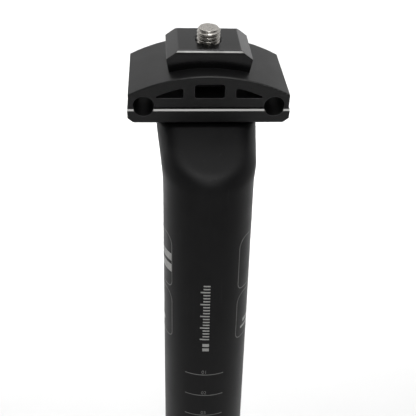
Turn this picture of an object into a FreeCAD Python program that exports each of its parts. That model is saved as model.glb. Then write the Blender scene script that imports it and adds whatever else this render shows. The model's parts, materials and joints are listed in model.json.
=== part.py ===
"""Rigid bicycle seatpost with a one-bolt rail clamp.

Millimetres. +Z runs up the tube, +Y points to the rear of the bicycle and X across it. The
origin is the centre of the tube's open lower end. The clamp pieces are drawn in a frame of
their own, with its origin in the middle of the split between the clamp halves, +Y along the
rails and +Z along the bolt, and their Placement leans that frame nose-down by rest_tilt.
"""
import FreeCAD, Part
import Sketcher
import math
import os

os.makedirs("parts", exist_ok=True)

doc = FreeCAD.newDocument("seatpost")
sheet = doc.addObject("Spreadsheet::Sheet", "Sheet")

# alias, value, meaning
SIZES = [
    # tube
    ("tube_dia", 31.6, "outside diameter of the tube"),
    ("tube_wall", 2.5, "wall of the tube"),
    ("bore_top", 356, "closed upper end of the tube's bore"),
    ("tube_top", 367, "height where the tube starts to flare into the head"),
    ("end_chamfer", 0.6, "chamfer on the tube's lower end"),
    # place of the clamp
    ("split_height", 400, "height of the split between the clamp halves, at its middle"),
    ("setback", 18, "middle of that split behind the tube axis"),
    ("rest_tilt", 15.2, "nose-down lean of the clamp"),
    ("pivot_rise", 15.5, "tilt axis above the split, along the bolt"),
    # head of the post
    ("head_half", 18, "half width of the head"),
    ("head_height", 37, "height of the head's loft above the tube"),
    ("head_rear", 46, "rear edge of the head's loft at its top"),
    ("head_corner", 12, "rear corner radius of the head at its top"),
    ("head_nose", 1.2, "width of the flat that joins the head's round front corners"),
    ("head_bulge", 480, "radius of the head's slightly bulged sides"),
    ("trough_rad", 26, "radius of the trough that the lower cradle sits in"),
    ("plate_rad", 33.5, "radius of the round underside that the rocker washer sits on"),
    ("lip_angle", 32, "half angle of the trough"),
    ("facet_drop", 13.4, "fall of the sloping front face"),
    ("facet_blend", 6.5, "rounding round the sloping front face"),
    ("slot_width", 8.8, "width of the bolt slot through the head"),
    ("slot_nose_up", 7.5, "lean that the slot allows nose-up of rest"),
    ("slot_nose_down", 13.5, "lean that the slot allows nose-down of rest"),
    ("pocket_width", 19, "width of the rear pocket round the screw head"),
    ("pocket_wall", 11.6, "foot of the rear pocket's front wall, behind the tube axis"),
    ("pocket_foot", 371, "height of that foot"),
    ("pocket_lead", 24, "angle that the pocket's roof reaches in front of the bolt"),
    ("pocket_trail", 60, "angle that the pocket's roof runs behind the bolt"),
    ("pocket_ramp", 12, "run of the pocket's floor down and out to the rear"),
    # rails and the two clamp halves
    ("rail_rad", 3.5, "radius of a saddle rail"),
    ("rail_half", 22, "rail axis from the middle of the clamp"),
    ("rail_rise", 1, "rail axes above the split between the clamp halves"),
    ("clamp_width", 54.1, "width of the upper clamp"),
    ("cradle_width", 54.9, "width of the lower cradle"),
    ("clamp_depth", 30, "length of rail that the upper clamp covers"),
    ("cradle_depth", 31.4, "length of the lower cradle along the rails"),
    ("clamp_gap", 0.2, "gap between the clamp halves"),
    ("wing_depth", 5.4, "underside of the lower cradle's wings below the split"),
    ("wing_run", 2.3, "width of the bevel on the lower cradle's outer corners"),
    ("wing_rise", 2, "height of the bevel on the lower cradle's outer corners"),
    ("running_gap", 0.3, "gap between round faces that slide on each other"),
    ("arch_end", 5, "height of the upper clamp at its ends"),
    ("arch_crown", 11.9, "height of the upper clamp at its middle"),
    ("arch_rad", 56.5, "radius of the arch"),
    ("edge_break", 0.5, "bevel on the lower cradle's front and rear edges"),
    ("edge_round", 0.5, "rounding of the upper clamp's front and rear edges"),
    # windows of the upper clamp
    ("window_floor", 3.9, "floor of the windows"),
    ("window_half", 5, "half width of the middle window"),
    ("window_top", 9, "top of the middle window"),
    ("window_depth", 8, "depth of the middle window from the front or rear face"),
    ("side_window_in", 8.7, "inner edge of a side window"),
    ("side_window_out", 17.8, "outer edge of a side window"),
    ("side_window_top", 7.7, "inner height of a side window"),
    ("side_window_tip", 4.5, "outer height of a side window"),
    ("side_window_rad", 40, "radius of a side window's roof"),
    ("window_round", 0.8, "corner radius of the windows"),
    # nut, bolt and washers
    ("nut_top", 18, "top of the nut above the split"),
    ("nut_shoulder", 15, "widest level of the nut"),
    ("nut_half_top", 10.25, "half length of the nut's top face"),
    ("nut_half", 14.3, "half length of the nut at its widest level"),
    ("nut_half_foot", 13.5, "half length of the nut at its foot"),
    ("nut_half_depth", 9.2, "half of the nut's size along the rails"),
    ("nut_round", 1.2, "rounding of the nut's top edges"),
    ("nut_sink", 0.8, "countersink round the thread in the nut"),
    ("bolt_dia", 7.9, "diameter over the bolt's thread"),
    ("thread_hole", 8, "bore of the nut"),
    ("clear_hole", 8.8, "bolt hole through the clamp halves and the rocker washer"),
    ("bolt_tip", 22.1, "end of the bolt above the split"),
    ("bolt_tip_bevel", 0.5, "bevel on the end of the bolt"),
    ("screw_head_dia", 13, "diameter of the socket head"),
    ("screw_head_height", 8, "height of the socket head"),
    ("screw_head_bevel", 0.8, "bevel round the socket head"),
    ("hex_flats", 6, "size across the flats of the hex socket"),
    ("hex_depth", 4, "depth of the hex socket"),
    ("rocker_half", 8, "half of the rocker washer's length and width"),
    ("rocker_corner", 2, "corner radius of the rocker washer"),
    ("rocker_thick", 3, "thickness of the rocker washer in its middle"),
    ("washer_dia", 14.5, "diameter of the flat washer"),
    ("washer_hole", 8.4, "hole of the flat washer"),
    ("washer_thick", 1.3, "thickness of the flat washer"),
]
for row, (alias, value, meaning) in enumerate(SIZES, start=1):
    sheet.set(f"A{row}", meaning)
    sheet.set(f"B{row}", str(value))
    sheet.setAlias(f"B{row}", alias)
doc.recompute()

# Levels along the bolt, in the clamp's own frame, as expressions of the sheet's cells
ROCKER_RAD = "(Sheet.plate_rad + Sheet.running_gap)"
ROCKER_TOP = f"(Sheet.pivot_rise - {ROCKER_RAD})"
ROCKER_FOOT = f"({ROCKER_TOP} - Sheet.rocker_thick)"
SCREW_SEAT = f"({ROCKER_FOOT} - Sheet.washer_thick)"
SCREW_FOOT = f"({SCREW_SEAT} - Sheet.screw_head_height)"
CRADLE_RAD = "(Sheet.trough_rad - Sheet.running_gap)"

# Edges are found by their places, to within this many millimetres
TINY = 0.01

# The tilt axis in the post's frame
PIVOT_Y = "(Sheet.setback - Sheet.pivot_rise * sin(Sheet.rest_tilt))"
PIVOT_Z = "(Sheet.split_height + Sheet.pivot_rise * cos(Sheet.rest_tilt))"


def number(expression):
    """Value of an expression of the sheet's cells."""
    return float(sheet.evalExpression(str(expression)))


# ---------------------------------------------------------------- sketches and features

def new_body(label):
    body = doc.addObject("PartDesign::Body", label)
    body.Label = label
    return body


def origin_plane(body, role):
    return next(item for item in body.Origin.OriginFeatures if item.Role == role)


def new_sketch(body, name, role, offset="0"):
    """Sketch on one of the body's own origin planes, moved along its normal."""
    sketch = body.newObject("Sketcher::SketchObject", name)
    sketch.AttachmentSupport = (origin_plane(body, role), [""])
    sketch.MapMode = "FlatFace"
    sketch.setExpression("AttachmentOffset.Base.z", f"({offset}) * 1 mm")
    return sketch


def constrain(sketch, kind, references, expression):
    index = sketch.addConstraint(Sketcher.Constraint(kind, *references, number(expression)))
    sketch.setExpression(f"Constraints[{index}]", str(expression))


def arc_between(start, end, radius, turn):
    """Arc of less than a half turn from start to end; turn is 1 anticlockwise, -1 clockwise."""
    middle = (start + end) * 0.5
    chord = end - start
    rise = math.sqrt(max(radius ** 2 - chord.Length ** 2 / 4, 0))
    left = FreeCAD.Vector(-chord.y, chord.x, 0).normalize()
    centre = middle + left * rise * turn
    first, last = (start, end) if turn > 0 else (end, start)
    first_angle = math.atan2(first.y - centre.y, first.x - centre.x)
    last_angle = math.atan2(last.y - centre.y, last.x - centre.x)
    circle = Part.Circle(centre, FreeCAD.Vector(0, 0, 1), radius)
    return Part.ArcOfCircle(circle, first_angle, last_angle)


def draw_outline(sketch, corners, arcs=None):
    """Closed outline through corners, each a pair of expressions.

    arcs gives a side its radius and turn, {side: (radius expression, turn)}; the other sides
    are straight. Side i runs from corner i to the next one.
    """
    arcs = arcs or {}
    points = [FreeCAD.Vector(number(across), number(up), 0) for across, up in corners]
    starts = []
    ends = []
    for side, start in enumerate(points):
        end = points[(side + 1) % len(points)]
        if side in arcs:
            radius, turn = arcs[side]
            item = sketch.addGeometry(arc_between(start, end, number(radius), turn), False)
            constrain(sketch, "Radius", (item,), radius)
        else:
            turn = 1
            item = sketch.addGeometry(Part.LineSegment(start, end), False)
        starts.append((item, 1 if turn > 0 else 2))
        ends.append((item, 2 if turn > 0 else 1))
    for side, start in enumerate(starts):
        sketch.addConstraint(Sketcher.Constraint("Coincident", *ends[side - 1], *start))
        constrain(sketch, "DistanceX", (-1, 1, *start), corners[side][0])
        constrain(sketch, "DistanceY", (-1, 1, *start), corners[side][1])


def draw_circle(sketch, diameter, across="0", up="0"):
    centre = FreeCAD.Vector(number(across), number(up), 0)
    circle = Part.Circle(centre, FreeCAD.Vector(0, 0, 1), number(diameter) / 2)
    item = sketch.addGeometry(circle, False)
    constrain(sketch, "Diameter", (item,), diameter)
    constrain(sketch, "DistanceX", (-1, 1, item, 3), across)
    constrain(sketch, "DistanceY", (-1, 1, item, 3), up)


def draw_rectangle(sketch, left, right, bottom, top):
    draw_outline(sketch, [(left, bottom), (right, bottom), (right, top), (left, top)])


def pad(body, name, sketch, length, symmetric=True):
    feature = body.newObject("PartDesign::Pad", name)
    feature.Profile = sketch
    feature.SideType = "Symmetric" if symmetric else "One side"
    feature.setExpression("Length", f"({length}) * 1 mm")
    doc.recompute()
    return feature


def pocket(body, name, sketch, length, symmetric=True, reverse=False):
    """Pocket that must take something away."""
    before = body.Shape.Volume
    feature = body.newObject("PartDesign::Pocket", name)
    feature.Profile = sketch
    feature.SideType = "Symmetric" if symmetric else "One side"
    feature.Reversed = reverse
    feature.setExpression("Length", f"({length}) * 1 mm")
    doc.recompute()
    if body.Shape.Volume >= before:
        raise RuntimeError(f"{name} cuts nothing")
    return feature


def mirror(body, name, feature, role):
    copy = body.newObject("PartDesign::Mirrored", name)
    copy.Originals = [feature]
    copy.MirrorPlane = (origin_plane(body, role), [""])
    body.Tip = copy
    doc.recompute()
    return copy


def edges_where(body, test):
    """Names of the body's edges that pass the test."""
    return [f"Edge{i}" for i, edge in enumerate(body.Shape.Edges, start=1) if test(edge)]


def dress(body, kind, name, size, test):
    """Fillet or chamfer of the body's edges that pass the test."""
    names = edges_where(body, test)
    if not names:
        raise RuntimeError(f"{name} finds no edge")
    base = body.Tip
    feature = body.newObject(f"PartDesign::{kind}", name)
    feature.Base = (base, names)
    feature.setExpression("Radius" if kind == "Fillet" else "Size", f"({size}) * 1 mm")
    doc.recompute()
    return feature


def lean_with_clamp(body):
    """Put a clamp piece at its rest place on the head."""
    axis = FreeCAD.Vector(1, 0, 0)
    body.Placement = FreeCAD.Placement(FreeCAD.Vector(), FreeCAD.Rotation(axis, 1))
    body.setExpression("Placement.Base.y", "Sheet.setback * 1 mm")
    body.setExpression("Placement.Base.z", "Sheet.split_height * 1 mm")
    body.setExpression("Placement.Rotation.Angle", "Sheet.rest_tilt * 1 deg")
    doc.recompute()
    return body


# ---------------------------------------------------------------- the post

def round_pivot(radius, angle):
    """Point at a radius from the tilt axis; angle in degrees from straight down to the rear."""
    return (f"{PIVOT_Y} + {radius} * sin({angle})", f"{PIVOT_Z} - {radius} * cos({angle})")


def draw_section(sketch, half, rear, rear_corner):
    """Section of the head: round in front, two rear corners, slightly bulged sides."""
    front = "(Sheet.tube_dia / 2)"
    nose = "(Sheet.head_nose / 2)"
    front_corner = f"({half} - {nose})"
    corners = [
        (f"-{half}", f"{rear} - {rear_corner}"), (f"-{half}", f"-{front} + {front_corner}"),
        (f"-{nose}", f"-{front}"), (nose, f"-{front}"),
        (half, f"-{front} + {front_corner}"), (half, f"{rear} - {rear_corner}"),
        (f"{half} - {rear_corner}", rear), (f"-{half} + {rear_corner}", rear),
    ]
    arcs = {side: ("Sheet.head_bulge", 1) for side in (0, 2, 4, 6)}
    arcs.update({1: (front_corner, 1), 3: (front_corner, 1)})
    arcs.update({5: (rear_corner, 1), 7: (rear_corner, 1)})
    draw_outline(sketch, corners, arcs)


def draw_tube_section(sketch):
    """The tube's circle in eight arcs that answer those of the head's sections."""
    radius = "Sheet.tube_dia / 2"
    sides = ((180, 8), (270, 3), (360, 8), (450, 8))
    angles = [middle + half for middle, width in sides for half in (-width, width)]
    corners = [(f"{radius} * cos({angle})", f"{radius} * sin({angle})") for angle in angles]
    draw_outline(sketch, corners, {side: (radius, 1) for side in range(8)})


def post():
    """Tube and head, forged in one piece."""
    body = new_body("post")
    tube = new_sketch(body, "TubeCircle", "XY_Plane")
    draw_circle(tube, "Sheet.tube_dia")
    pad(body, "Tube", tube, "Sheet.tube_top", symmetric=False)
    add_head(body)
    trim_head(body)
    cut_rear_pocket(body)
    cut_bolt_slot(body)

    bore = new_sketch(body, "BoreCircle", "XY_Plane")
    draw_circle(bore, "Sheet.tube_dia - 2 * Sheet.tube_wall")
    pocket(body, "Bore", bore, "Sheet.bore_top", symmetric=False, reverse=True)
    dress(body, "Chamfer", "EndChamfer", "Sheet.end_chamfer", is_lower_rim)
    return body


def add_head(body):
    """Loft from the tube's circle to the wide, deep section under the clamp."""
    def grown(final, share):
        ease = f"((1 - cos({180 * min(share, 1):.1f})) / 2)"
        return f"(Sheet.tube_dia / 2 + ({final} - Sheet.tube_dia / 2) * {ease})"

    sections = []
    for place, share in enumerate((0, 0.08)):
        rise = f"(Sheet.tube_top + {share} * Sheet.head_height)"
        section = new_sketch(body, f"TubeSection{place}", "XY_Plane", rise)
        draw_tube_section(section)
        sections.append(section)
    for place, share in enumerate((0.3, 0.5, 0.7, 1)):
        rise = f"(Sheet.tube_top + {share} * Sheet.head_height)"
        section = new_sketch(body, f"HeadSection{place}", "XY_Plane", rise)
        draw_section(section, grown("Sheet.head_half", 1.8 * share - 0.2),
                     grown("Sheet.head_rear", share), grown("Sheet.head_corner", share))
        sections.append(section)
    head = body.newObject("PartDesign::AdditiveLoft", "Head")
    head.Profile = sections[0]
    head.Sections = sections[1:]
    doc.recompute()


FRONT_LIP = "(Sheet.rest_tilt - Sheet.lip_angle)"
REAR_LIP = "(Sheet.rest_tilt + Sheet.lip_angle)"


def trim_head(body):
    """Slope the head's front face, blend it in, then cut the trough and the rear end."""
    lip_y, lip_z = round_pivot("Sheet.trough_rad", FRONT_LIP)
    front = "-Sheet.tube_dia / 2"
    slope = f"(Sheet.facet_drop / ({lip_y} - {front}))"
    far = "Sheet.tube_dia"
    facet = new_sketch(body, "FrontFacet", "YZ_Plane")
    draw_outline(facet, [
        (f"{front} - {far}", f"{lip_z} - Sheet.facet_drop - {far} * {slope}"),
        (f"{lip_y} + {far}", f"{lip_z} + {far} * {slope}"),
        (f"{lip_y} + {far}", f"{lip_z} + 2 * {far}"),
        (f"{front} - {far}", f"{lip_z} + 2 * {far}"),
    ])
    pocket(body, "Facet", facet, "4 * Sheet.head_half")

    normal = FreeCAD.Vector(0, -number(slope), 1).normalize()

    def is_facet_rim(edge):
        faces = body.Shape.ancestorsOfType(edge, Part.Face)
        on_facet = [face for face in faces if face.Surface.TypeId == "Part::GeomPlane"
                    and abs(face.normalAt(0, 0).dot(normal)) > 0.999]
        return len(on_facet) == 1 and edge.BoundBox.ZMin < number(lip_z)
    dress(body, "Fillet", "FacetBlend", "Sheet.facet_blend", is_facet_rim)

    trough = new_sketch(body, "TroughOutline", "YZ_Plane")
    rear_lip = round_pivot("Sheet.trough_rad", REAR_LIP)
    rear_end = round_pivot("2 * Sheet.trough_rad", REAR_LIP)
    draw_outline(trough, [
        round_pivot("Sheet.trough_rad", FRONT_LIP), rear_lip, rear_end,
        (rear_end[0], f"{PIVOT_Z} + {far}"), (f"{lip_y}", f"{PIVOT_Z} + {far}"),
    ], {0: ("Sheet.trough_rad", 1)})
    pocket(body, "Trough", trough, "4 * Sheet.head_half")


def cut_rear_pocket(body):
    """Hollow behind the tube for the rocker washer and the screw head."""
    outline = new_sketch(body, "RearPocketOutline", "YZ_Plane")
    draw_outline(outline, [
        round_pivot("Sheet.plate_rad", "(Sheet.rest_tilt - Sheet.pocket_lead)"),
        round_pivot("Sheet.plate_rad", "(Sheet.rest_tilt + Sheet.pocket_trail)"),
        ("Sheet.head_rear", "Sheet.pocket_foot - Sheet.pocket_ramp"),
        ("Sheet.pocket_wall + Sheet.pocket_ramp", "Sheet.pocket_foot - Sheet.pocket_ramp"),
        ("Sheet.pocket_wall", "Sheet.pocket_foot"),
    ], {0: ("Sheet.plate_rad", 1)})
    pocket(body, "RearPocket", outline, "Sheet.pocket_width")


def cut_bolt_slot(body):
    """Slot through the head's plate that lets the bolt lean with the clamp."""
    half = "Sheet.clear_hole / 2"
    nose_up = "(Sheet.rest_tilt - Sheet.slot_nose_up)"
    nose_down = "(Sheet.rest_tilt + Sheet.slot_nose_down)"

    def wall(reach, angle, side):
        across, up = round_pivot(reach, angle)
        return (f"{across} + {side} * {half} * cos({angle})",
                f"{up} + {side} * {half} * sin({angle})")
    outline = new_sketch(body, "BoltSlotOutline", "YZ_Plane")
    draw_outline(outline, [
        wall("0.8 * Sheet.trough_rad", nose_up, -1), wall("1.2 * Sheet.plate_rad", nose_up, -1),
        wall("1.2 * Sheet.plate_rad", nose_down, 1), wall("0.8 * Sheet.trough_rad", nose_down, 1),
    ])
    pocket(body, "BoltSlot", outline, "Sheet.slot_width")

    def is_slot_corner(edge):
        box = edge.BoundBox
        off_side = abs(abs(box.XMax) - number("Sheet.slot_width / 2"))
        straight = edge.Curve.TypeId == "Part::GeomLine"
        return straight and box.XLength < TINY and off_side < TINY
    dress(body, "Fillet", "SlotRounds", "Sheet.slot_width / 2 - 0.2", is_slot_corner)


def is_lower_rim(edge):
    reach = number("Sheet.tube_dia / 2")
    return edge.BoundBox.ZMax < TINY and edge.BoundBox.XMax > reach - TINY


# ---------------------------------------------------------------- the rail clamp

def is_end_edge(edge, depth):
    """Edges that lie in the front or rear face of a clamp half."""
    box = edge.BoundBox
    return box.YLength < TINY and abs(abs(box.YMin) - number(depth) / 2) < TINY


def cut_rail_groove(body):
    groove = new_sketch(body, "RailCircle", "XZ_Plane")
    draw_circle(groove, "2 * Sheet.rail_rad", "Sheet.rail_half", "Sheet.rail_rise")
    cut = pocket(body, "RailGroove", groove, "2 * Sheet.clamp_depth")
    mirror(body, "RailGrooves", cut, "YZ_Plane")


def cut_bolt_hole(body, diameter="Sheet.clear_hole"):
    hole = new_sketch(body, "BoltHoleCircle", "XY_Plane")
    draw_circle(hole, diameter)
    pocket(body, "BoltHole", hole, "4 * Sheet.clamp_depth")


def lower_cradle():
    """Lower clamp half: a plate with bevelled wings and a round belly in the head's trough."""
    body = new_body("lower_cradle")
    half = "Sheet.cradle_width / 2"
    wing = new_sketch(body, "WingOutline", "XZ_Plane")
    draw_outline(wing, [
        (f"-{half}", "-Sheet.clamp_gap / 2"),
        (f"-{half}", "-Sheet.wing_depth + Sheet.wing_rise"),
        (f"-{half} + Sheet.wing_run", "-Sheet.wing_depth"),
        (f"{half} - Sheet.wing_run", "-Sheet.wing_depth"),
        (half, "-Sheet.wing_depth + Sheet.wing_rise"),
        (half, "-Sheet.clamp_gap / 2"),
    ])
    pad(body, "Wings", wing, "Sheet.cradle_depth")

    half_depth = "Sheet.cradle_depth / 2"
    brim = f"(Sheet.pivot_rise - sqrt({CRADLE_RAD} ^ 2 - ({half_depth}) ^ 2))"
    belly = new_sketch(body, "BellyOutline", "YZ_Plane")
    draw_outline(belly, [
        (f"-{half_depth}", brim), (half_depth, brim),
        (half_depth, "-Sheet.clamp_gap / 2"), (f"-{half_depth}", "-Sheet.clamp_gap / 2"),
    ], {0: (CRADLE_RAD, 1)})
    pad(body, "Belly", belly, "2 * Sheet.head_half")

    cut_rail_groove(body)
    cut_bolt_hole(body)

    def is_long_end_edge(edge):
        return is_end_edge(edge, "Sheet.cradle_depth") and edge.BoundBox.ZLength < TINY
    dress(body, "Chamfer", "EndEdgeBreak", "Sheet.edge_break", is_long_end_edge)
    return lean_with_clamp(body)


def upper_clamp():
    """Upper clamp half: an arch over both rails with three windows in each face."""
    body = new_body("upper_clamp")
    half = "Sheet.clamp_width / 2"
    arch = new_sketch(body, "ArchOutline", "XZ_Plane")
    draw_outline(arch, [
        (f"-{half}", "Sheet.clamp_gap / 2"), (half, "Sheet.clamp_gap / 2"),
        (half, "Sheet.arch_end"), (f"-{half}", "Sheet.arch_end"),
    ], {2: ("Sheet.arch_rad", 1)})
    pad(body, "Arch", arch, "Sheet.clamp_depth")

    cut_rail_groove(body)
    cut_bolt_hole(body)

    front = "(Sheet.clamp_depth / 2)"
    middle = new_sketch(body, "MiddleWindowOutline", "XZ_Plane", front)
    draw_rectangle(middle, "-Sheet.window_half", "Sheet.window_half",
                   "Sheet.window_floor", "Sheet.window_top")
    cut = pocket(body, "MiddleWindow", middle, "Sheet.window_depth", symmetric=False)
    mirror(body, "MiddleWindows", cut, "XZ_Plane")

    side = new_sketch(body, "SideWindowOutline", "XZ_Plane")
    draw_outline(side, [
        ("Sheet.side_window_in", "Sheet.window_floor"),
        ("Sheet.side_window_out", "Sheet.window_floor"),
        ("Sheet.side_window_out", "Sheet.side_window_tip"),
        ("Sheet.side_window_in", "Sheet.side_window_top"),
    ], {2: ("Sheet.side_window_rad", 1)})
    cut = pocket(body, "SideWindow", side, "2 * Sheet.clamp_depth")
    mirror(body, "SideWindows", cut, "YZ_Plane")

    def is_window_corner(edge):
        box = edge.BoundBox
        along = box.XLength < TINY and box.ZLength < TINY and box.YLength > TINY
        across = min(abs(abs(box.XMin) - number(wall)) for wall in
                     ("Sheet.window_half", "Sheet.side_window_in"))
        return along and across < TINY and box.ZMin > number("Sheet.window_floor") - TINY
    dress(body, "Fillet", "WindowCornerRounds", "Sheet.window_round", is_window_corner)

    def is_arch_edge(edge):
        return is_end_edge(edge, "Sheet.clamp_depth") and edge.Length > number(half)
    dress(body, "Fillet", "ArchEdgeRound", "Sheet.edge_round", is_arch_edge)
    return lean_with_clamp(body)


def wedge_nut():
    """Long nut with sloped ends, hollow underneath to sit on the arch."""
    body = new_body("wedge_nut")
    arch_centre = "(Sheet.arch_crown - Sheet.arch_rad)"
    foot = f"({arch_centre} + sqrt(Sheet.arch_rad ^ 2 - Sheet.nut_half_foot ^ 2))"
    outline = new_sketch(body, "NutOutline", "XZ_Plane")
    draw_outline(outline, [
        ("-Sheet.nut_half_foot", foot), ("Sheet.nut_half_foot", foot),
        ("Sheet.nut_half", "Sheet.nut_shoulder"), ("Sheet.nut_half_top", "Sheet.nut_top"),
        ("-Sheet.nut_half_top", "Sheet.nut_top"), ("-Sheet.nut_half", "Sheet.nut_shoulder"),
    ], {0: ("Sheet.arch_rad", -1)})
    pad(body, "Block", outline, "2 * Sheet.nut_half_depth")
    cut_bolt_hole(body, "Sheet.thread_hole")

    def is_top_long_edge(edge):
        box = edge.BoundBox
        on_top = box.ZMin > number("Sheet.nut_top") - TINY
        return on_top and box.YLength < TINY and box.XLength > number("Sheet.nut_half_top")
    dress(body, "Fillet", "TopRounds", "Sheet.nut_round", is_top_long_edge)

    def is_hole_rim(edge):
        box = edge.BoundBox
        on_top = box.ZMin > number("Sheet.nut_top") - TINY
        return on_top and abs(box.XLength - number("Sheet.thread_hole")) < TINY
    dress(body, "Chamfer", "Countersink", "Sheet.nut_sink", is_hole_rim)
    return lean_with_clamp(body)


# ---------------------------------------------------------------- bolt and washers

def clamp_bolt():
    """M8 socket screw that runs up through the head and the clamp into the nut."""
    body = new_body("clamp_bolt")
    head = "Sheet.screw_head_dia / 2"
    shank = "Sheet.bolt_dia / 2"
    profile = new_sketch(body, "BoltProfile", "XZ_Plane")
    draw_outline(profile, [
        ("0", SCREW_FOOT), (f"{head} - Sheet.screw_head_bevel", SCREW_FOOT),
        (head, f"{SCREW_FOOT} + Sheet.screw_head_bevel"), (head, SCREW_SEAT),
        (shank, SCREW_SEAT), (shank, "Sheet.bolt_tip - Sheet.bolt_tip_bevel"),
        (f"{shank} - Sheet.bolt_tip_bevel", "Sheet.bolt_tip"), ("0", "Sheet.bolt_tip"),
    ])
    turned = body.newObject("PartDesign::Revolution", "TurnedBolt")
    turned.Profile = profile
    turned.ReferenceAxis = (profile, ["V_Axis"])
    turned.Angle = 360
    doc.recompute()

    socket = new_sketch(body, "SocketOutline", "XY_Plane", SCREW_FOOT)
    corner = "Sheet.hex_flats / 2 / cos(30)"
    draw_outline(socket, [
        (f"{corner} * cos({60 * side})", f"{corner} * sin({60 * side})") for side in range(6)
    ])
    pocket(body, "HexSocket", socket, "Sheet.hex_depth", symmetric=False, reverse=True)
    return lean_with_clamp(body)


def rocker_washer():
    """Washer whose hollow top follows the round underside of the head."""
    body = new_body("rocker_washer")
    rim = f"(Sheet.pivot_rise - sqrt({ROCKER_RAD} ^ 2 - Sheet.rocker_half ^ 2))"
    outline = new_sketch(body, "RockerOutline", "YZ_Plane")
    draw_outline(outline, [
        ("-Sheet.rocker_half", ROCKER_FOOT), ("Sheet.rocker_half", ROCKER_FOOT),
        ("Sheet.rocker_half", rim), ("-Sheet.rocker_half", rim),
    ], {2: (ROCKER_RAD, -1)})
    pad(body, "Saddle", outline, "2 * Sheet.rocker_half")
    cut_bolt_hole(body)

    def is_corner_edge(edge):
        box = edge.BoundBox
        return box.XLength < TINY and box.YLength < TINY and box.ZLength > TINY
    dress(body, "Fillet", "CornerRounds", "Sheet.rocker_corner", is_corner_edge)
    return lean_with_clamp(body)


def flat_washer():
    """Plain washer under the screw head."""
    body = new_body("flat_washer")
    ring = new_sketch(body, "WasherRing", "XY_Plane", SCREW_SEAT)
    draw_circle(ring, "Sheet.washer_dia")
    draw_circle(ring, "Sheet.washer_hole")
    pad(body, "Washer", ring, "Sheet.washer_thick", symmetric=False)
    return lean_with_clamp(body)


pieces = [
    post(), lower_cradle(), upper_clamp(), wedge_nut(), clamp_bolt(), rocker_washer(),
    flat_washer(),
]
doc.recompute()
for item in doc.Objects:
    if "Invalid" in item.State or "Error" in item.State:
        raise RuntimeError(f"{item.Label} did not build: {item.State}")
for piece in pieces:
    if piece.Shape.isNull() or not piece.Shape.isValid():
        raise RuntimeError(f"{piece.Label} has no valid shape")
for piece in pieces:
    piece.Shape.exportStep(f"parts/{piece.Label}.step")
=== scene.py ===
"""Studio scene of a one-bolt bicycle seatpost: its finishes, its printed scale and its bolt.

Metres, in the frame of the CAD model: +Z runs up the tube, +Y to the rear of the bicycle and X
across it, with the origin at the centre of the tube's lower end.
"""
import json
import math

import bmesh
import bpy
from mathutils import Matrix, Vector


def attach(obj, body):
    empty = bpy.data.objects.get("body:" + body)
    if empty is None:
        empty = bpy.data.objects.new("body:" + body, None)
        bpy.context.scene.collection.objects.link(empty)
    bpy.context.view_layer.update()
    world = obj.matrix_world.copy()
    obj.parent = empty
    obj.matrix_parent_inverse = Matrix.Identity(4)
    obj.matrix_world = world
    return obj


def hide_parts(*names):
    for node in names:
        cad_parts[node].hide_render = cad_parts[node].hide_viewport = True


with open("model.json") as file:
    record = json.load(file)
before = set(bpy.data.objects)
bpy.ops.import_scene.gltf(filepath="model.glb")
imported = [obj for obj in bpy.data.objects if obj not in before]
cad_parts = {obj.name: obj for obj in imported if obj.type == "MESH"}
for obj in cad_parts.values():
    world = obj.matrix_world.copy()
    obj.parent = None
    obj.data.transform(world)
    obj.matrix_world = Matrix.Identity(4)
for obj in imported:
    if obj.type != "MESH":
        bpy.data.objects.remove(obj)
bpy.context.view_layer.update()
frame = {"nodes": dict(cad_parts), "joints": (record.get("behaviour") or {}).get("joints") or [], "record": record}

MM = 0.001
NODES = frame["nodes"]
MOUNTS = {mount["name"]: mount for mount in frame["record"]["mounts"]}
JOINTS = {joint["name"]: joint for joint in frame["joints"]}

TUBE_RADIUS = MOUNTS["frame_fit"]["dims"]["r_mm"] * MM
BOLT_CENTRE = Vector(JOINTS["bolt_turn"]["pos_m"])
BOLT_UP = -Vector(JOINTS["bolt_turn"]["axis"]).normalized()


# ---------------------------------------------------------------- materials

# Light grey laid on the long ridges of the clamp, cradle and nut as a painted glint, where the lamps' highlight
# falls.
RIDGE_GLINT_COLOUR = (0.7, 0.7, 0.68)
RIDGE_RISE = 0.62


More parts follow.
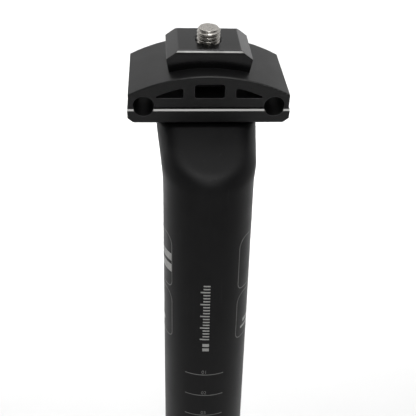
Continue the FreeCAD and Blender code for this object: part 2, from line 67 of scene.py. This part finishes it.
class Finish:
    """A material with its node tree, and short ways to add nodes to it."""

    def __init__(self, name):
        self.material = bpy.data.materials.new(name)
        self.material.use_nodes = True
        self.tree = self.material.node_tree
        self.shader = self.tree.nodes["Principled BSDF"]
        self.place = self.node("ShaderNodeTexCoord").outputs["Object"]

    def node(self, kind, **settings):
        made = self.tree.nodes.new(kind)
        for name, value in settings.items():
            setattr(made, name, value)
        return made

    def link(self, source, socket):
        self.tree.links.new(source, socket)

    def set(self, **values):
        """Even values on the shader's own sockets; an underscore stands for a space."""
        for name, value in values.items():
            self.shader.inputs[name.replace("_", " ")].default_value = value

    def noise(self, size, detail=2.0, stretch=(1, 1, 1)):
        """Noise whose features are about `size` metres across, longer where stretch is over 1."""
        mapping = self.node("ShaderNodeMapping")
        mapping.inputs["Scale"].default_value = [1 / (size * part) for part in stretch]
        noise = self.node("ShaderNodeTexNoise")
        noise.inputs["Scale"].default_value = 1
        noise.inputs["Detail"].default_value = detail
        self.link(self.place, mapping.inputs["Vector"])
        self.link(mapping.outputs["Vector"], noise.inputs["Vector"])
        return noise.outputs["Fac"]

    def span(self, value, low, high, start=0.3, end=0.7):
        """value, mapped from start..end to low..high."""
        ranged = self.node("ShaderNodeMapRange")
        for name, number in (("From Min", start), ("From Max", end), ("To Min", low), ("To Max", high)):
            ranged.inputs[name].default_value = number
        self.link(value, ranged.inputs["Value"])
        return ranged.outputs["Result"]

    def mix(self, factor, first, second):
        """Colour that goes from first to second; each is a colour or a socket."""
        mixed = self.node("ShaderNodeMix", data_type="RGBA")
        self.link(factor, mixed.inputs["Factor"])
        for name, colour in (("A", first), ("B", second)):
            socket = next(s for s in mixed.inputs if s.name == name and s.type == "RGBA")
            if isinstance(colour, bpy.types.NodeSocket):
                self.link(colour, socket)
            else:
                socket.default_value = (*colour, 1)
        return next(s for s in mixed.outputs if s.type == "RGBA")

    def math(self, operation, first, second):
        made = self.node("ShaderNodeMath", operation=operation)
        for socket, value in zip(made.inputs, (first, second)):
            if isinstance(value, bpy.types.NodeSocket):
                self.link(value, socket)
            else:
                socket.default_value = value
        return made.outputs["Value"]

    def rounded(self, radius):
        """Normal that is rounded at edges, to a radius in metres."""
        bevel = self.node("ShaderNodeBevel", samples=6)
        bevel.inputs["Radius"].default_value = radius
        return bevel.outputs["Normal"]

    def edges(self, radius):
        """Rounded normal, and a mask of the edges where it turns away from the surface."""
        rounded = self.rounded(radius)
        flat = self.node("ShaderNodeNewGeometry").outputs["Normal"]
        turn = self.node("ShaderNodeVectorMath", operation="DOT_PRODUCT")
        self.link(rounded, turn.inputs[0])
        self.link(flat, turn.inputs[1])
        return rounded, self.span(turn.outputs["Value"], 1, 0, start=0.8, end=0.99)

    def ridges(self):
        """Mask of the long edges that run across the clamp and face up and to the front or rear, where a painted
        glint is laid.

        RIDGE_RISE is how far their normal points along the bolt, in the clamp's own frame.
        """
        normal = self.node("ShaderNodeTexCoord").outputs["Normal"]
        rise = self.node("ShaderNodeVectorMath", operation="DOT_PRODUCT")
        rise.inputs[1].default_value = BOLT_UP
        across = self.node("ShaderNodeSeparateXYZ")
        self.link(normal, rise.inputs[0])
        self.link(normal, across.inputs["Vector"])
        off_middle = self.math("ABSOLUTE", self.math("SUBTRACT", rise.outputs["Value"], RIDGE_RISE), 0)
        level = self.math("ABSOLUTE", across.outputs["X"], 0)
        return self.math("MULTIPLY", self.span(off_middle, 1, 0, start=0.1, end=0.24),
                         self.span(level, 1, 0, start=0.1, end=0.2))

    def bump(self, height, depth, strength=1.0, normal=None):
        bump = self.node("ShaderNodeBump")
        bump.inputs["Strength"].default_value = strength
        bump.inputs["Distance"].default_value = depth
        self.link(height, bump.inputs["Height"])
        if normal is not None:
            self.link(normal, bump.inputs["Normal"])
        return bump.outputs["Normal"]

    def finish(self, colour, roughness, normal):
        self.link(colour, self.shader.inputs["Base Color"])
        self.link(roughness, self.shader.inputs["Roughness"])
        self.link(normal, self.shader.inputs["Normal"])
        return self.material


def anodised(name, dark, light, gloss, rough, grain, rim, edge_wear_and_glint=6, ridge_glint=0.0, blend=0.0):
    """Black anodised aluminium: blasted grain, cloudy dye, rubbed edges and a painted glint along the long ridges.

    Edges are lightened over `rim` metres to `edge_wear_and_glint` times the light dye: rubbing at small values, a
    painted highlight along the rims at large ones, and the shading of creases is smoothed over `blend` metres, as
    on a forging.
    """
    finish = Finish(name)
    finish.set(Metallic=0.0, Specular_IOR_Level=gloss)
    rounded, rubbed = finish.edges(rim)
    if blend:
        rounded = finish.rounded(blend)
    cloud = finish.noise(0.009, detail=4)
    blast = finish.noise(grain, detail=3)
    scuffs = finish.span(finish.noise(0.0012, detail=5, stretch=(1, 1, 14)), 0, 1, start=0.63, end=0.75)
    dye = finish.mix(finish.span(cloud, 0, 1), dark, light)
    dye = finish.mix(finish.math("MULTIPLY", scuffs, 0.35), dye, [3 * part for part in light])
    worn = finish.math("MULTIPLY", rubbed, finish.span(cloud, 0.25, 1))
    dye = finish.mix(finish.math("MULTIPLY", worn, 0.5), dye, [edge_wear_and_glint * part for part in light])
    # painted glint: light grey laid along the long ridges
    if ridge_glint:
        dye = finish.mix(finish.math("MULTIPLY", finish.ridges(), ridge_glint), dye, RIDGE_GLINT_COLOUR)
    roughness = finish.math("ADD", finish.span(blast, rough - 0.05, rough + 0.05),
                            finish.span(cloud, -0.03, 0.03))
    return finish.finish(dye, roughness, finish.bump(blast, 0.1 * grain, 0.6, rounded))


def plated_nut():
    """Black plated steel, smoother than the clamp, with lighter rubbed edges and a painted glint along its long
    top ridges.
    """
    finish = Finish("nut_black")
    finish.set(Metallic=0.0, Specular_IOR_Level=0.25)
    rounded, rubbed = finish.edges(0.35 * MM)
    cloud = finish.noise(0.004, detail=4)
    drawn = finish.noise(0.0003, detail=3, stretch=(40, 1, 1))
    colour = finish.mix(finish.span(cloud, 0, 1), (0.0012, 0.0012, 0.0013), (0.003, 0.003, 0.0032))
    colour = finish.mix(finish.math("MULTIPLY", rubbed, finish.span(cloud, 0.2, 0.9)),
                        colour, (0.09, 0.088, 0.085))
    # painted glint: light grey laid along the nut's long top ridges
    colour = finish.mix(finish.math("MULTIPLY", finish.ridges(), finish.span(cloud, 0.6, 1)),
                        colour, RIDGE_GLINT_COLOUR)
    roughness = finish.span(drawn, 0.18, 0.26)
    return finish.finish(colour, roughness, finish.bump(drawn, 0.01 * MM, 0.5, rounded))


def turned_steel(name, bright, dull, rough):
    """Plain or zinc-plated steel with fine turning marks round the bolt's axis."""
    finish = Finish(name)
    finish.set(Metallic=1.0)
    rounded, rubbed = finish.edges(0.15 * MM)
    offset = finish.node("ShaderNodeVectorMath", operation="SUBTRACT")
    offset.inputs[1].default_value = BOLT_CENTRE
    lean = finish.node("ShaderNodeVectorRotate", rotation_type="X_AXIS")
    lean.inputs["Angle"].default_value = math.atan2(BOLT_UP.y, BOLT_UP.z)
    rings = finish.node("ShaderNodeTexWave", wave_type="RINGS", rings_direction="Z")
    rings.inputs["Scale"].default_value = 900
    rings.inputs["Distortion"].default_value = 0.6
    finish.link(finish.place, offset.inputs[0])
    finish.link(offset.outputs["Vector"], lean.inputs["Vector"])
    finish.link(lean.outputs["Vector"], rings.inputs["Vector"])
    stain = finish.noise(0.0016, detail=5)
    colour = finish.mix(finish.span(stain, 0, 1, start=0.42, end=0.72), bright, dull)
    polished = [min(1, 1.4 * part) for part in bright]
    colour = finish.mix(finish.math("MULTIPLY", rubbed, 0.6), colour, polished)
    roughness = finish.math("ADD", finish.span(stain, rough - 0.06, rough + 0.1),
                            finish.span(rings.outputs["Fac"], -0.03, 0.03, start=0, end=1))
    return finish.finish(colour, roughness, finish.bump(rings.outputs["Fac"], 0.004 * MM, 0.5, rounded))


def printed_ink(name, dark, light):
    """Grey print, slightly worn through by pinholes."""
    finish = Finish(name)
    finish.set(Metallic=0.0, Specular_IOR_Level=0.3)
    speckle = finish.noise(0.0003, detail=4)
    patch = finish.noise(0.004, detail=3)
    pinholes = finish.span(speckle, 0, 1, start=0.55, end=0.72)
    worn = finish.math("MULTIPLY", pinholes, finish.span(patch, 0.2, 0.9))
    colour = finish.mix(finish.span(patch, 0, 1), (dark, dark, 0.97 * dark), (light, light, 0.97 * light))
    colour = finish.mix(worn, colour, (0.02, 0.02, 0.02))
    return finish.finish(colour, finish.span(speckle, 0.45, 0.65), finish.bump(speckle, 0.01 * MM, 0.4))


def pale_floor():
    """Smooth pale studio floor."""
    finish = Finish("pale_floor")
    finish.set(Metallic=0.0, Specular_IOR_Level=0.1)
    mottle = finish.noise(0.2, detail=4)
    colour = finish.mix(finish.span(mottle, 0, 1), (0.6, 0.6, 0.6), (0.62, 0.62, 0.62))
    return finish.finish(colour, finish.span(mottle, 0.7, 0.8), finish.bump(mottle, 0.2 * MM, 0.2))


def paint_frame():
    """Gives each CAD node its finish."""
    post = anodised("post_anodised", (0.003, 0.003, 0.0033), (0.005, 0.005, 0.0053),
                    gloss=0.16, rough=0.44, grain=0.22 * MM, rim=0.4 * MM, blend=4 * MM)
    # Clamp and cradle edges lightened 70 times the dye, far past rubbing: a painted highlight along their rims;
    # the cradle's ridge value of 0.75 lays a strong painted glint.
    clamp, cradle = (anodised(name, (0.0015, 0.0015, 0.0016), (0.003, 0.003, 0.0032), gloss=0.33,
                              rough=0.46, grain=0.2 * MM, rim=0.35 * MM, edge_wear_and_glint=70, ridge_glint=ridge_glint)
                     for name, ridge_glint in (("clamp_anodised", 0.05), ("cradle_anodised", 0.75)))
    washer = turned_steel("washer_steel", (0.5, 0.5, 0.48), (0.3, 0.29, 0.27), 0.35)
    finishes = {
        "post": post,
        "lower_cradle": cradle,
        "upper_clamp": clamp,
        "wedge_nut": plated_nut(),
        "rocker_washer": washer,
        "flat_washer": washer,
    }
    for node, material in finishes.items():
        NODES[node].data.materials.clear()
        NODES[node].data.materials.append(material)


# ---------------------------------------------------------------- mesh helpers

def new_piece(name, bm, material, body):
    """Object made from bm, riding on a CAD body."""
    bmesh.ops.recalc_face_normals(bm, faces=bm.faces)
    mesh = bpy.data.meshes.new(name)
    bm.to_mesh(mesh)
    bm.free()
    piece = bpy.data.objects.new(name, mesh)
    bpy.context.scene.collection.objects.link(piece)
    mesh.materials.append(material)
    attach(piece, body)
    return piece


# ---------------------------------------------------------------- clamp bolt

SHANK_RADIUS = 3.95 * MM
THREAD_PITCH = 1.25 * MM
THREAD_DEPTH = 0.68 * MM
THREAD_START = -12 * MM
HEAD_RADIUS = 6.5 * MM
HEAD_HEIGHT = 8 * MM
HEX_HALF = 3 * MM
HEX_DEPTH = 4 * MM
KNURLS = 40
KNURL_DEPTH = 0.22 * MM
ROUND_STEPS = 240
THREAD_STEPS = 14


def round_at(radius):
    return lambda angle: radius


def hex_at(half):
    """Distance from the axis to a hexagonal wall whose flats are `half` away."""
    return lambda angle: half / math.cos((angle % (math.pi / 3)) - math.pi / 6)


def knurl_at(radius, depth):
    return lambda angle: radius - depth * (0.5 - 0.5 * math.cos(KNURLS * angle))


def thread_at(height, end):
    """Radius round the shank at one height: a 60 degree thread that runs out at both ends."""
    run_in = min(1, (height - THREAD_START) / (2 * THREAD_PITCH))

    def radius(angle):
        phase = (height / THREAD_PITCH - angle / math.tau) % 1
        groove = min(1, max(0, (min(phase, 1 - phase) - 1 / 16) / (5 / 16)))
        chamfer = SHANK_RADIUS - max(0, height - (end - 0.75 * MM))
        return min(SHANK_RADIUS - run_in * THREAD_DEPTH * groove, chamfer)
    return radius


def bolt_rings(head_end, end):
    """(height, radius by angle) of each ring, from the socket's floor round the head to the tip."""
    seat = head_end + HEAD_HEIGHT
    rings = [
        (head_end + HEX_DEPTH, hex_at(HEX_HALF)),
        (head_end + 0.3 * MM, hex_at(HEX_HALF)),
        (head_end, round_at(1.2 * HEX_HALF)),
        (head_end, round_at(HEAD_RADIUS - 0.8 * MM)),
        (head_end + 0.25 * MM, round_at(HEAD_RADIUS - 0.25 * MM)),
        (head_end + 0.8 * MM, round_at(HEAD_RADIUS)),
        (head_end + 1.2 * MM, knurl_at(HEAD_RADIUS, KNURL_DEPTH)),
        (seat - 1.6 * MM, knurl_at(HEAD_RADIUS, KNURL_DEPTH)),
        (seat - 1.2 * MM, round_at(HEAD_RADIUS)),
        (seat - 0.2 * MM, round_at(HEAD_RADIUS)),
        (seat, round_at(HEAD_RADIUS - 0.2 * MM)),
        (seat, round_at(SHANK_RADIUS + 0.3 * MM)),
        (seat + 0.3 * MM, round_at(SHANK_RADIUS)),
    ]
    step = THREAD_PITCH / THREAD_STEPS
    count = int((end - THREAD_START) / step)
    heights = [THREAD_START + step * index for index in range(count)] + [end]
    return rings + [(height, thread_at(height, end)) for height in heights]


def clamp_bolt(material):
    """M8 socket screw with a knurled head, a hexagonal socket and a cut thread."""
    heights = [(v.co - BOLT_CENTRE).dot(BOLT_UP) for v in NODES["clamp_bolt"].data.vertices]
    head_end, end = min(heights), max(heights)
    to_frame = Matrix.Translation(BOLT_CENTRE) @ BOLT_UP.to_track_quat("Z", "Y").to_matrix().to_4x4()
    bm = bmesh.new()

    def ring(height, radius):
        points = []
        for index in range(ROUND_STEPS):
            angle = math.tau * index / ROUND_STEPS
            reach = radius(angle)
            points.append(bm.verts.new((reach * math.cos(angle), reach * math.sin(angle), height)))
        return points

    def fan(points, height):
        middle = bm.verts.new((0, 0, height))
        for one, two in zip(points, points[1:] + points[:1]):
            bm.faces.new((one, two, middle))

    rings = [ring(height, radius) for height, radius in bolt_rings(head_end, end)]
    for lower, upper in zip(rings, rings[1:]):
        for one, two, three, four in zip(lower, lower[1:] + lower[:1], upper[1:] + upper[:1], upper):
            bm.faces.new((one, two, three, four))
    fan(rings[0], head_end + HEX_DEPTH + 0.8 * MM)
    fan(rings[-1], end)
    bm.transform(to_frame)
    piece = new_piece("threaded_clamp_bolt", bm, material, "bolt")
    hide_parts("clamp_bolt")


# ---------------------------------------------------------------- printed scale and outlines

INK_PROUD = 0.03 * MM
INK_SUNK = 0.15 * MM
FINE = 1.0 * MM
FIRST_MARK = 298.5 * MM
MARK_STEP = 10 * MM
MARKS = 20
MARK_HALF = math.radians(27)
LINE = 0.34 * MM
PANEL_EDGES = {-1: math.radians(51), 1: math.radians(46)}
PANEL_BACK = math.radians(118)
PRINT_TURN = math.radians(-4.5)
PANELS = ((35 * MM, 56 * MM), (13 * MM, 33 * MM))
TOP_ROUND = 4.2 * MM
FOOT_ROUND = 2.4 * MM
SIDE_BARS = (
    (-1, 51.5, 96, 47.3 * MM, 2.9 * MM),
    (-1, 51.5, 90, 42.9 * MM, 3.1 * MM),
    (-1, 74, 96, 18.0 * MM, 1.8 * MM),
    (1, 56, 84, 17.0 * MM, 0.9 * MM),
    (1, 62, 88, 19.5 * MM, 1.4 * MM),
)
LADDER_FOOT = 16.5 * MM
LADDER_STEP = 1.27 * MM
LADDER_RUNGS = 19
LADDER_RIGHT = 1.5 * MM
SHORT_RUNG = 2.4 * MM
LONG_RUNG = 3.4 * MM
RUNG_WIDTH = 0.5 * MM
BLOCKS_BELOW = (4.7 * MM, 2.7 * MM)
BLOCK_WIDTH = 1.3 * MM
LOWEST_REACH = 1.6 * MARK_HALF * TUBE_RADIUS
LOWEST_TICKS = 13


def wrapped(bm):
    """Rolls flat artwork (across, up, proud of the surface) round the front of the tube."""
    for vert in bm.verts:
        across, up, proud = vert.co
        angle = across / TUBE_RADIUS + PRINT_TURN
        reach = TUBE_RADIUS + proud
        vert.co = (reach * math.sin(angle), -reach * math.cos(angle), up)


def finely(path, closed=False):
    """The path with its long runs divided, so that it can follow the tube."""
    points = []
    for one, two in zip(path, path[1:] + (path[:1] if closed else [])):
        parts = max(1, math.ceil((two - one).length / FINE))
        points += [one.lerp(two, part / parts) for part in range(parts)]
    return points if closed else points + [path[-1]]


def ribbon(bm, path, width, closed=False):
    """Flat strip of ink along a path."""
    points = finely([Vector(point) for point in path], closed)
    count = len(points)
    rows = []
    for index, point in enumerate(points):
        before = points[index - 1] if closed or index else point
        after = points[(index + 1) % count] if closed or index < count - 1 else point
        run = (after - before).normalized()
        side = Vector((-run.y, run.x)) * width / 2
        rows.append([bm.verts.new((*corner, level)) for level in (-INK_SUNK, INK_PROUD)
                     for corner in (point - side, point + side)])
    pairs = list(zip(rows, rows[1:])) + ([(rows[-1], rows[0])] if closed else [])
    for one, two in pairs:
        for first, second in ((0, 1), (1, 3), (3, 2), (2, 0)):
            bm.faces.new((one[first], one[second], two[second], two[first]))
    if not closed:
        for row in (rows[0], rows[-1]):
            bm.faces.new((row[0], row[1], row[3], row[2]))


def bend(centre_across, centre_up, radius, start):
    """Quarter turn of points, counter-clockwise from the start angle."""
    return [(centre_across + radius * math.cos(math.radians(start + 15 * step)),
             centre_up + radius * math.sin(math.radians(start + 15 * step))) for step in range(7)]


def panel(bm, side, low, high):
    """Outline with rounded corners on one side of the tube."""
    near, far = sorted(side * TUBE_RADIUS * angle for angle in (PANEL_EDGES[side], PANEL_BACK))
    ribbon(bm, bend(far - TOP_ROUND, high - TOP_ROUND, TOP_ROUND, 0)
           + bend(near + TOP_ROUND, high - TOP_ROUND, TOP_ROUND, 90)
           + bend(near + FOOT_ROUND, low + FOOT_ROUND, FOOT_ROUND, 180)
           + bend(far - FOOT_ROUND, low + FOOT_ROUND, FOOT_ROUND, 270), LINE, closed=True)


def side_outlines(ink):
    """Two outlined panels on each side of the tube."""
    bm = bmesh.new()
    for side in (-1, 1):
        for low, high in PANELS:
            panel(bm, side, FIRST_MARK + low, FIRST_MARK + high)
    wrapped(bm)
    return new_piece("side_outlines", bm, ink, "seatpost")


def side_bars(ink):
    """Plain bars inside the panels, each from one angle round the tube to another."""
    bm = bmesh.new()
    for side, start, end, height, width in SIDE_BARS:
        ends = [side * TUBE_RADIUS * math.radians(angle) for angle in (start, end)]
        ribbon(bm, [(across, FIRST_MARK + height) for across in ends], width)
    wrapped(bm)
    return new_piece("side_bars", bm, ink, "seatpost")


def front_ladder(ink):
    """Column of short plain rungs up the front of the tube, over two plain blocks."""
    bm = bmesh.new()
    foot = FIRST_MARK + LADDER_FOOT
    for index in range(LADDER_RUNGS):
        reach = LONG_RUNG if index % 4 == 0 else SHORT_RUNG
        up = foot + index * LADDER_STEP
        ribbon(bm, [(LADDER_RIGHT - reach, up), (LADDER_RIGHT, up)], RUNG_WIDTH)
    for below in BLOCKS_BELOW:
        up = foot - below
        ribbon(bm, [(LADDER_RIGHT - SHORT_RUNG, up), (LADDER_RIGHT, up)], BLOCK_WIDTH)
    wrapped(bm)
    return new_piece("front_ladder", bm, ink, "seatpost")


def height_scale(ink):
    """Marks every 10 mm down the front of the tube, and the lowest line that may show."""
    bm = bmesh.new()
    reach = MARK_HALF * TUBE_RADIUS
    for index in range(MARKS):
        up = FIRST_MARK - index * MARK_STEP
        ribbon(bm, [(-reach, up), (reach, up)], LINE)
    lowest = FIRST_MARK - MARKS * MARK_STEP
    ribbon(bm, [(-LOWEST_REACH, lowest), (LOWEST_REACH, lowest)], 3 * LINE)
    for index in range(LOWEST_TICKS):
        across = LOWEST_REACH * (2 * index / (LOWEST_TICKS - 1) - 1)
        ribbon(bm, [(across, lowest - 6 * MM), (across, lowest - 1.5 * MM)], 1.6 * LINE)
    wrapped(bm)
    return new_piece("height_scale", bm, ink, "seatpost")


def scale_numbers(ink):
    """Number of each mark, just above its line."""
    bm = bmesh.new()
    for index in range(MARKS):
        words = bpy.data.curves.new("number", "FONT")
        words.body = f"{index + 1:02d}"
        words.size = 2.1 * MM
        words.align_x = "CENTER"
        words.extrude = (INK_PROUD + INK_SUNK) / 2
        holder = bpy.data.objects.new("number", words)
        bpy.context.scene.collection.objects.link(holder)
        flat = bpy.data.meshes.new_from_object(holder)
        up = FIRST_MARK - index * MARK_STEP + 0.6 * MM
        flat.transform(Matrix.Translation((0, up, (INK_PROUD - INK_SUNK) / 2)))
        bm.from_mesh(flat)
        bpy.data.objects.remove(holder)
        bpy.data.curves.remove(words)
        bpy.data.meshes.remove(flat)
    bmesh.ops.remove_doubles(bm, verts=bm.verts, dist=0.001 * MM)
    wrapped(bm)
    return new_piece("scale_numbers", bm, ink, "seatpost")


# ---------------------------------------------------------------- studio

FLOOR_HALF = 10
FRONT_WALL_LIGHT = 0.54
BACK_WALL_LIGHT = 1.08
BACK_SLOPE_LIGHT = 0.78
CEILING_LIGHT = 1.05
KEY_LEAN = -20
KEY_REACH = 1.1
KEY_SIZE = 0.2
KEY_WATTS = 3.4
FRONT_LEAN = -50
FRONT_REACH = 1.4
FRONT_SIZE = 0.2
FRONT_WATTS = 3.6
AHEAD_FLOOR_WATTS = 0.25
NEAR_FLOOR_WATTS = 12.5
BACK_FLOOR_WATTS = 72
CAMERA_YAW = math.radians(5)
CAMERA_DIP = math.radians(24.9)
CAMERA_ROLL = math.radians(1.37)
CAMERA_REACH = 192 * MM
CAMERA_HEIGHT = 454 * MM
CAMERA_LENS = 51.92
CAMERA_SHIFT = -0.0264


def floor():
    bm = bmesh.new()
    bmesh.ops.create_grid(bm, x_segments=1, y_segments=1, size=FLOOR_HALF)
    mesh = bpy.data.meshes.new("floor")
    bm.to_mesh(mesh)
    bm.free()
    ground = bpy.data.objects.new("floor", mesh)
    bpy.context.scene.collection.objects.link(ground)
    mesh.materials.append(pale_floor())


def softbox(name, place, aim, width, depth, watts, spread=180):
    lamp = bpy.data.lights.new(name, "AREA")
    lamp.shape = "RECTANGLE"
    lamp.size = width
    lamp.size_y = depth
    lamp.energy = watts
    lamp.spread = math.radians(spread)
    holder = bpy.data.objects.new(name, lamp)
    bpy.context.scene.collection.objects.link(holder)
    holder.location = place
    holder.rotation_euler = (Vector(aim) - Vector(place)).to_track_quat("-Z", "Y").to_euler()


def surroundings(world):
    """Bright ceiling, pale wall behind, dimmer wall in front, and a lit slope above the back wall."""
    tree = world.node_tree
    place = tree.nodes.new("ShaderNodeTexCoord")
    parts = tree.nodes.new("ShaderNodeSeparateXYZ")
    tree.links.new(place.outputs["Generated"], parts.inputs["Vector"])

    def fade(axis, start, end, first, last):
        made = tree.nodes.new("ShaderNodeMapRange")
        made.interpolation_type = "SMOOTHSTEP"
        limits = (("From Min", start), ("From Max", end), ("To Min", first), ("To Max", last))
        for name, value in limits:
            made.inputs[name].default_value = value
        tree.links.new(parts.outputs[axis], made.inputs["Value"])
        return made.outputs["Result"]

    def join(operation, first, second):
        made = tree.nodes.new("ShaderNodeMath")
        made.operation = operation
        tree.links.new(first, made.inputs[0])
        tree.links.new(second, made.inputs[1])
        return made.outputs["Value"]

    wall = join("MULTIPLY", fade("Z", 0.2, 0.5, 1, 0),
                fade("Y", -0.3, 0.5, FRONT_WALL_LIGHT, BACK_WALL_LIGHT))
    between = join("MULTIPLY", fade("Z", 0.2, 0.5, 0, 1), fade("Z", 0.7, 0.9, 1, 0))
    slope = join("MULTIPLY", between, fade("Y", -0.3, 0.5, 0, BACK_SLOPE_LIGHT))
    ceiling = fade("Z", 0.7, 0.9, 0, CEILING_LIGHT)
    tree.links.new(join("ADD", join("ADD", wall, slope), ceiling),
                   tree.nodes["Background"].inputs["Strength"])
    tree.nodes["Background"].inputs["Color"].default_value = (1, 1, 1, 1)


def lights():
    """Two lamps above and in front of the clamp, and three over the floor."""
    clamp = Vector((0, BOLT_CENTRE.y, BOLT_CENTRE.z))

    def over_clamp(name, lean, reach, size, watts):
        angle = math.radians(lean)
        place = clamp + reach * Vector((0, math.sin(angle), math.cos(angle)))
        softbox(name, place, clamp, size, size, watts)

    over_clamp("key", KEY_LEAN, KEY_REACH, KEY_SIZE, KEY_WATTS)
    over_clamp("front", FRONT_LEAN, FRONT_REACH, FRONT_SIZE, FRONT_WATTS)
    softbox("ahead_floor_lamp", (0, -0.5, 0.9), (0, -0.5, 0), 0.5, 0.3, AHEAD_FLOOR_WATTS, spread=30)
    softbox("near_floor_lamp", (0, 0.9, 1.6), (0, 0.9, 0), 2.0, 0.6, NEAR_FLOOR_WATTS, spread=80)
    softbox("back_floor_lamp", (0, 3.4, 1.8), (0, 3.4, 0), 4.4, 4.2, BACK_FLOOR_WATTS, spread=72)
    world = bpy.data.worlds.new("studio")
    world.use_nodes = True
    surroundings(world)
    bpy.context.scene.world = world


def camera():
    """Camera in front of the post, looking down at the clamp."""
    ahead = Vector((math.sin(CAMERA_YAW) * math.cos(CAMERA_DIP),
                    math.cos(CAMERA_YAW) * math.cos(CAMERA_DIP), -math.sin(CAMERA_DIP)))
    level = Vector((math.cos(CAMERA_YAW), -math.sin(CAMERA_YAW), 0))
    upright = level.cross(ahead)
    right = math.cos(CAMERA_ROLL) * level + math.sin(CAMERA_ROLL) * upright
    up = right.cross(ahead)
    eye = bpy.data.cameras.new("camera")
    eye.lens = CAMERA_LENS
    eye.sensor_width = 36
    eye.shift_y = CAMERA_SHIFT
    eye.clip_start = 0.01
    holder = bpy.data.objects.new("camera", eye)
    bpy.context.scene.collection.objects.link(holder)
    axes = Matrix((right, up, -ahead)).transposed().to_4x4()
    place = Vector((-math.sin(CAMERA_YAW), -math.cos(CAMERA_YAW), 0)) * CAMERA_REACH
    place.z = CAMERA_HEIGHT
    holder.matrix_world = Matrix.Translation(place) @ axes
    bpy.context.scene.camera = holder


paint_frame()
clamp_bolt(turned_steel("bolt_steel", (0.43, 0.41, 0.38), (0.26, 0.25, 0.23), 0.2))
pale_ink = printed_ink("pale_ink", 0.3, 0.42)
grey_ink = printed_ink("grey_ink", 0.1, 0.15)
side_outlines(grey_ink)
side_bars(pale_ink)
front_ladder(pale_ink)
height_scale(grey_ink)
scale_numbers(grey_ink)
floor()
lights()
camera()
bpy.context.scene.view_settings.view_transform = "Standard"
